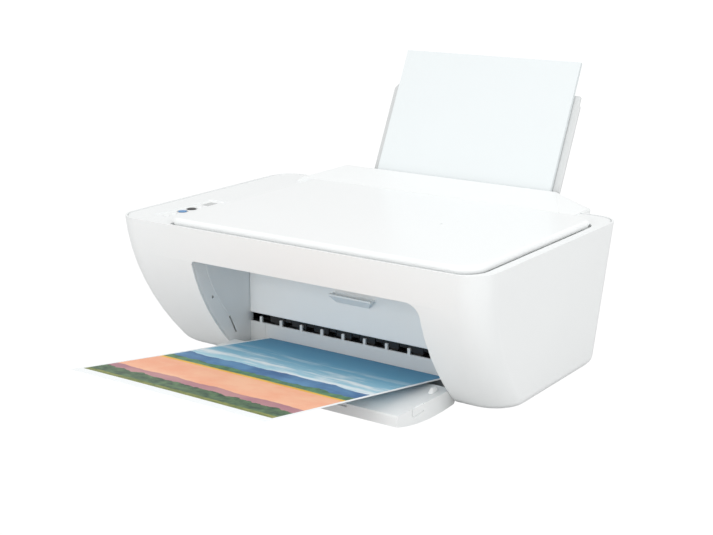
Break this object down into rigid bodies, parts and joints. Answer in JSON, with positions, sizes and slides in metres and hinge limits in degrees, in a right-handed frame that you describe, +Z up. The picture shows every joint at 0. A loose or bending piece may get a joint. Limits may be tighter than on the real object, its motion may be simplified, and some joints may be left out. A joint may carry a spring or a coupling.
{
  "type": "inkjet printer",
  "caption": "All-in-one inkjet printer: flatbed scanner under a hinged lid, upright rear paper tray, and a print leaving over a drop-down output tray below the cartridge door.",
  "frame": {"origin": "on the surface that the feet stand on, in the middle of the footprint of the whole printer with its trays and paper out", "axes": "+X to the right of a person facing the front, +Y to the back, +Z up; the front with the output tray faces -Y"},
  "size_m": [0.425, 0.5414, 0.2917],
  "materials": {
    "white_case": "fine satin texture",
    "white_gloss": "soft gloss",
    "light_grey": "satin",
    "mid_grey": "satin",
    "black_plastic": "satin",
    "rubber": "matt",
    "steel": "drawn",
    "chromed": "polished",
    "brass": "machined",
    "nylon": "satin",
    "glass": "clear",
    "foam": "matt",
    "board": "solder mask",
    "paper": "plain",
    "print": "colour print with a plain margin",
    "blue_plastic": "gloss",
    "display": "unlit display"
  },
  "bodies": {
    "printer": {"base_chassis": "light_grey", "outer_casing": "white_case", "rear_hood": "white_case", "rubber_feet": "rubber", "case_screws": "chromed", "scanner_frame": "white_case", "scanner_glass": "glass", "scanner_pan": "mid_grey", "scan_rod": "chromed", "lid_hinges": "light_grey", "control_panel": "white_gloss", "display_window": "display", "tray_liner": "white_case", "exit_guide": "light_grey", "separation_pad": "rubber", "paper_chute": "mid_grey", "pinch_holder": "mid_grey", "feed_motor": "steel", "star_holder": "black_plastic", "platen": "black_plastic", "guide_rail": "chromed", "carriage_belt": "rubber", "carriage_motor": "steel", "service_station": "black_plastic", "circuit_boards": "board", "power_module": "black_plastic", "rear_panel": "white_case", "rear_sockets": "black_plastic"},
    "lid": {"scanner_lid": "white_gloss", "lid_backing": "foam"},
    "scan_head": {"scan_bar": "black_plastic", "scan_lens": "glass", "scan_motor": "steel"},
    "door": {"cartridge_door": "white_case"},
    "output_tray": {"output_tray": "white_case"},
    "tray_extender": {"tray_extender": "white_case"},
    "input_tray": {"input_tray": "light_grey"},
    "width_guide": {"width_guide": "light_grey"},
    "paper_stack": {"paper_stack": "paper"},
    "printed_sheet": {"printed_sheet": "print"},
    "pickup_roller": {"pickup_roller": "rubber"},
    "feed_roller": {"feed_shaft": "steel", "feed_gear": "nylon"},
    "output_roller": {"output_shaft": "black_plastic", "output_tyres": "rubber", "output_gear": "nylon"},
    "idler_gear": {"idler_gear": "nylon"},
    "motor_pinion": {"motor_pinion": "brass"},
    "pinch_rollers": {"pinch_rollers": "rubber"},
    "star_wheels": {"star_wheels": "black_plastic"},
    "carriage": {"carriage": "black_plastic", "black_cartridge": "black_plastic", "colour_cartridge": "black_plastic"},
    "motor_pulley": {"motor_pulley": "brass"},
    "idler_pulley": {"idler_pulley": "nylon"},
    "power_button": {"power_button": "white_gloss"},
    "cancel_button": {"cancel_button": "white_gloss"},
    "colour_copy_button": {"colour_copy_button": "blue_plastic"},
    "black_copy_button": {"black_copy_button": "black_plastic"},
    "resume_button": {"resume_button": "white_gloss"}
  },
  "joints": [
    {"name": "lid_hinge", "type": "hinge", "parent": "printer", "child": "lid", "pos_m": [0, 0.15168, 0.152], "axis": [-1, 0, 0], "range_deg": [0, 92]},
    {"name": "door_hinge", "type": "hinge", "parent": "printer", "child": "door", "pos_m": [0, 0.00698, 0.0433], "axis": [-1, 0, 0], "range_deg": [-85, 0]},
    {"name": "tray_hinge", "type": "hinge", "parent": "printer", "child": "output_tray", "pos_m": [0, -0.0129, 0.0095], "axis": [-1, 0, 0], "range_deg": [0, 51], "deforming": ["printed_sheet"]},
    {"name": "extender_slide", "type": "slide", "parent": "output_tray", "child": "tray_extender", "axis": [0, 0.9997, -0.0248], "range_m": [-0.07, 0]},
    {"name": "input_tray_slide", "type": "slide", "parent": "printer", "child": "input_tray", "axis": [0, 0.4289, 0.9033], "range_m": [-0.092, 0]},
    {"name": "width_guide_slide", "type": "slide", "parent": "printer", "child": "width_guide", "axis": [1, 0, 0], "range_m": [-0.005, 0]},
    {"name": "paper_stack_slide", "type": "slide", "parent": "printer", "child": "paper_stack", "axis": [0, 0.4289, 0.9033], "range_m": [0, 0.18]},
    {"name": "printed_sheet_slide", "type": "slide", "parent": "printer", "child": "printed_sheet", "axis": [0, 0.9874, -0.1582], "range_m": [-0.15, 0]},
    {"name": "carriage_slide", "type": "slide", "parent": "printer", "child": "carriage", "axis": [1, 0, 0], "range_m": [-0.256, 0]},
    {"name": "scan_slide", "type": "slide", "parent": "printer", "child": "scan_head", "axis": [1, 0, 0], "range_m": [0, 0.275]},
    {"name": "power_press", "type": "slide", "parent": "printer", "child": "power_button", "axis": [0, 0, -1], "range_m": [0, 0.0008], "stiffness_N_per_m": 300, "springref_m": -0.0004},
    {"name": "cancel_press", "type": "slide", "parent": "printer", "child": "cancel_button", "axis": [0, 0, -1], "range_m": [0, 0.0008], "stiffness_N_per_m": 300, "springref_m": -0.0004},
    {"name": "colour_copy_press", "type": "slide", "parent": "printer", "child": "colour_copy_button", "axis": [0, 0, -1], "range_m": [0, 0.0008], "stiffness_N_per_m": 300, "springref_m": -0.0004},
    {"name": "black_copy_press", "type": "slide", "parent": "printer", "child": "black_copy_button", "axis": [0, 0, -1], "range_m": [0, 0.0008], "stiffness_N_per_m": 300, "springref_m": -0.0004},
    {"name": "resume_press", "type": "slide", "parent": "printer", "child": "resume_button", "axis": [0, 0, -1], "range_m": [0, 0.0008], "stiffness_N_per_m": 300, "springref_m": -0.0004},
    {"name": "feed_roller_spin", "type": "hinge", "parent": "printer", "child": "feed_roller", "pos_m": [0, 0.06168, 0.029], "axis": [1, 0, 0], "continuous": true},
    {"name": "output_roller_spin", "type": "hinge", "parent": "printer", "child": "output_roller", "pos_m": [0, 0.01528, 0.029], "axis": [1, 0, 0], "continuous": true},
    {"name": "idler_gear_spin", "type": "hinge", "parent": "printer", "child": "idler_gear", "pos_m": [0, 0.03848, 0.029], "axis": [1, 0, 0], "continuous": true},
    {"name": "motor_pinion_spin", "type": "hinge", "parent": "printer", "child": "motor_pinion", "pos_m": [0, 0.08249, 0.029], "axis": [1, 0, 0], "continuous": true},
    {"name": "pinch_roller_spin", "type": "hinge", "parent": "printer", "child": "pinch_rollers", "pos_m": [0, 0.06168, 0.0391], "axis": [1, 0, 0], "continuous": true},
    {"name": "star_wheel_spin", "type": "hinge", "parent": "printer", "child": "star_wheels", "pos_m": [0, 0.01528, 0.0388], "axis": [1, 0, 0], "continuous": true},
    {"name": "pickup_roller_spin", "type": "hinge", "parent": "printer", "child": "pickup_roller", "pos_m": [0, 0.14529, 0.06901], "axis": [1, 0, 0], "continuous": true},
    {"name": "motor_pulley_spin", "type": "hinge", "parent": "printer", "child": "motor_pulley", "pos_m": [0.1695, 0.11368, 0.092], "axis": [0, 0, 1], "continuous": true},
    {"name": "idler_pulley_spin", "type": "hinge", "parent": "printer", "child": "idler_pulley", "pos_m": [-0.14595, 0.11368, 0.092], "axis": [0, 0, 1], "continuous": true}
  ],
  "couplings": [
    {"joint": "output_roller_spin", "follows": "feed_roller_spin", "ratio": 1},
    {"joint": "idler_gear_spin", "follows": "feed_roller_spin", "ratio": -2.2222},
    {"joint": "motor_pinion_spin", "follows": "feed_roller_spin", "ratio": -3.3333},
    {"joint": "pinch_roller_spin", "follows": "feed_roller_spin", "ratio": -1.5},
    {"joint": "star_wheel_spin", "follows": "feed_roller_spin", "ratio": -1.3095},
    {"joint": "motor_pulley_spin", "follows": "carriage_slide", "rad_per_m": 151.52},
    {"joint": "idler_pulley_spin", "follows": "carriage_slide", "rad_per_m": 151.52}
  ]
}
